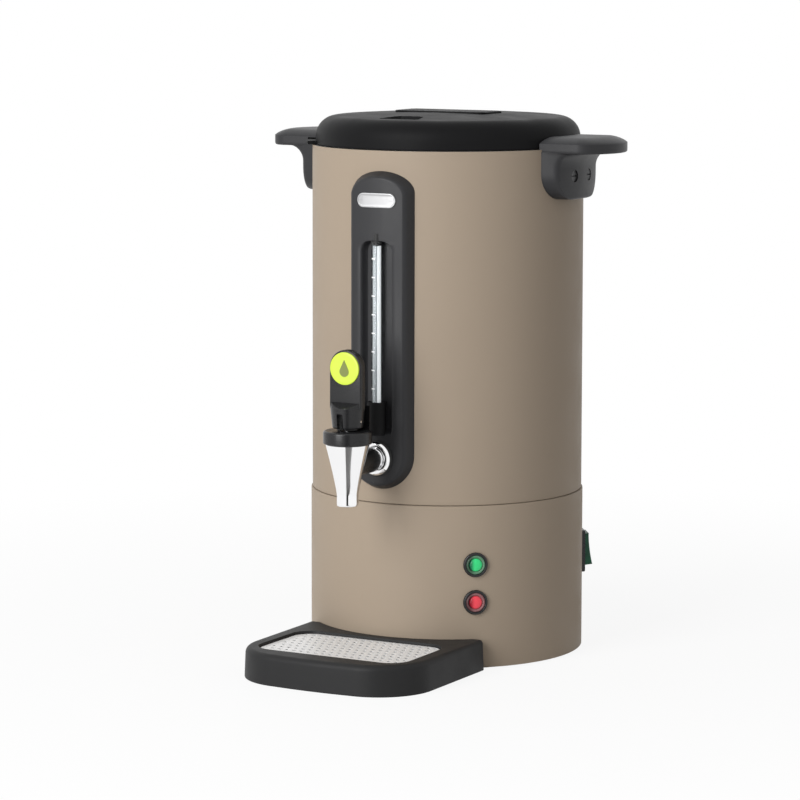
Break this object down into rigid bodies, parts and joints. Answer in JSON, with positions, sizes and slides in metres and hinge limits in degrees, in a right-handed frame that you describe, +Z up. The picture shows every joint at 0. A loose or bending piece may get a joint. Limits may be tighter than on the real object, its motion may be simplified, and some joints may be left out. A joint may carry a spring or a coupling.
{
  "type": "coffee urn",
  "caption": "Electric coffee urn with a round enamelled casing, lever tap, sight tube, turning lid, brewing insert, rocker switch and a drip tray with a lift-out grid",
  "frame": {"origin": "on the table, where the axis of the round casing meets it", "axes": "+Z up along the casing's axis, the tap faces -Y, +X is the right-hand handle seen from the tap's side with the lamps"},
  "size_m": [0.296, 0.3217, 0.4174],
  "materials": {
    "taupe_paint": "satin taupe enamel on sheet steel",
    "zinc_plate": "plain zinc-plated sheet",
    "black_rubber": "matte moulded rubber",
    "steel_screws": "plain turned steel",
    "black_screws": "blackened steel",
    "tank_steel": "fine brushed stainless steel",
    "cast_heater": "sand-cast aluminium",
    "mica_band": "mica sheet over a band element",
    "white_ceramic": "unglazed white ceramic",
    "grey_ceramic": "dark phenolic body",
    "ivory_plastic": "heat-resisting ivory plastic",
    "wire_cover": "silicone covered wire",
    "black_plastic": "fine-grained black moulding",
    "lid_black": "smooth black moulding with a soft sheen",
    "tap_black": "smooth black moulding",
    "satin_badge": "bare satin plate",
    "clear_tube": "clear level tube",
    "dark_block": "dark moulding",
    "chrome_plate": "polished chrome plate",
    "brass_nut": "machined brass",
    "seat_rubber": "food-grade silicone",
    "spring_steel": "drawn spring wire",
    "lime_disc": "lime moulding",
    "green_lens": "translucent green lens",
    "red_lens": "translucent red lens",
    "green_rocker": "translucent green rocker",
    "grid_steel": "bright perforated sheet"
  },
  "bodies": {
    "urn": {"outer_casing": "taupe_paint", "base_casing": "taupe_paint", "bottom_plate": "zinc_plate", "rubber_feet": "black_rubber", "base_screws": "steel_screws", "tank": "tank_steel", "heating_well": "tank_steel", "heating_element": "cast_heater", "keep_warm_element": "mica_band", "clamp_plate": "zinc_plate", "tie_rods": "steel_screws", "thermostat": "white_ceramic", "thermal_cutout": "grey_ceramic", "terminal_block": "ivory_plastic", "wiring": "wire_cover", "left_handle": "black_plastic", "right_handle": "black_plastic", "handle_screws": "black_screws", "handle_nuts": "steel_screws", "front_panel": "black_plastic", "panel_screws": "steel_screws", "badge_plate": "satin_badge", "sight_tube": "clear_tube", "sight_tube_plug": "black_rubber", "sight_tube_seal": "black_rubber", "sight_seat_block": "dark_block", "sight_seat_nut": "steel_screws", "tap_shank": "chrome_plate", "shank_collar": "chrome_plate", "shank_spacer": "ivory_plastic", "shank_washer": "black_rubber", "shank_nut": "brass_nut", "tap_body": "chrome_plate", "tap_bonnet": "tap_black", "lamp_bezels": "tap_black", "green_lamp": "green_lens", "red_lamp": "red_lens", "lamp_nuts": "ivory_plastic", "switch_frame": "tap_black", "power_inlet": "tap_black", "inlet_pins": "brass_nut", "inlet_screws": "steel_screws"},
    "lid_seal": {"lid_gasket": "black_rubber"},
    "lid": {"lid_shell": "lid_black", "lid_grip": "lid_black", "lid_liner": "tank_steel", "lid_screws": "steel_screws"},
    "riser": {"riser_tube": "tank_steel"},
    "basket": {"coffee_basket": "tank_steel"},
    "basket_cover": {"basket_lid": "tank_steel"},
    "stem": {"tap_stem": "tank_steel", "seat_cup": "seat_rubber", "tap_spring": "spring_steel"},
    "lever": {"tap_lever": "tap_black", "lever_pin": "chrome_plate", "lever_disc": "lime_disc"},
    "rocker": {"switch_rocker": "green_rocker"},
    "tray": {"drip_tray": "black_plastic"},
    "grid": {"drip_grid": "grid_steel"}
  },
  "joints": [
    {"name": "lid_lift", "type": "slide", "parent": "urn", "child": "lid_seal", "axis": [0, 0, 1], "range_m": [0, 0.45]},
    {"name": "lid_turn", "type": "hinge", "parent": "lid_seal", "child": "lid", "pos_m": [0, 0, 0.4], "axis": [0, 0, 1], "range_deg": [-30, 0]},
    {"name": "riser_lift", "type": "slide", "parent": "urn", "child": "riser", "axis": [0, 0, 1], "range_m": [0, 0.28]},
    {"name": "basket_lift", "type": "slide", "parent": "riser", "child": "basket", "axis": [0, 0, 1], "range_m": [0, 0.1]},
    {"name": "basket_cover_lift", "type": "slide", "parent": "basket", "child": "basket_cover", "axis": [0, 0, 1], "range_m": [0, 0.04]},
    {"name": "stem_lift", "type": "slide", "parent": "urn", "child": "stem", "axis": [0, 0, 1], "range_m": [0, 0.0028], "stiffness_N_per_m": 1200, "springref_m": -0.006, "deforming": ["tap_spring"]},
    {"name": "lever_tilt", "type": "hinge", "parent": "stem", "child": "lever", "pos_m": [0, -0.156, 0.1936], "axis": [1, 0, 0], "range_deg": [0, 25]},
    {"name": "rocker_tilt", "type": "hinge", "parent": "urn", "child": "rocker", "pos_m": [0.08355, 0.05851, 0.072], "axis": [-0.5736, 0.8192, 0], "range_deg": [0, 14]},
    {"name": "tray_slide", "type": "slide", "parent": "urn", "child": "tray", "axis": [0, -1, 0], "range_m": [0, 0.12]},
    {"name": "grid_lift", "type": "slide", "parent": "tray", "child": "grid", "axis": [0, 0, 1], "range_m": [0, 0.06]}
  ],
  "couplings": [
    {"joint": "riser_lift", "follows": "lid_lift", "ratio": 0.62},
    {"joint": "basket_lift", "follows": "lid_lift", "ratio": 0.22},
    {"joint": "basket_cover_lift", "follows": "lid_lift", "ratio": 0.085},
    {"joint": "lever_tilt", "follows": "stem_lift", "rad_per_m": 155.83}
  ]
}
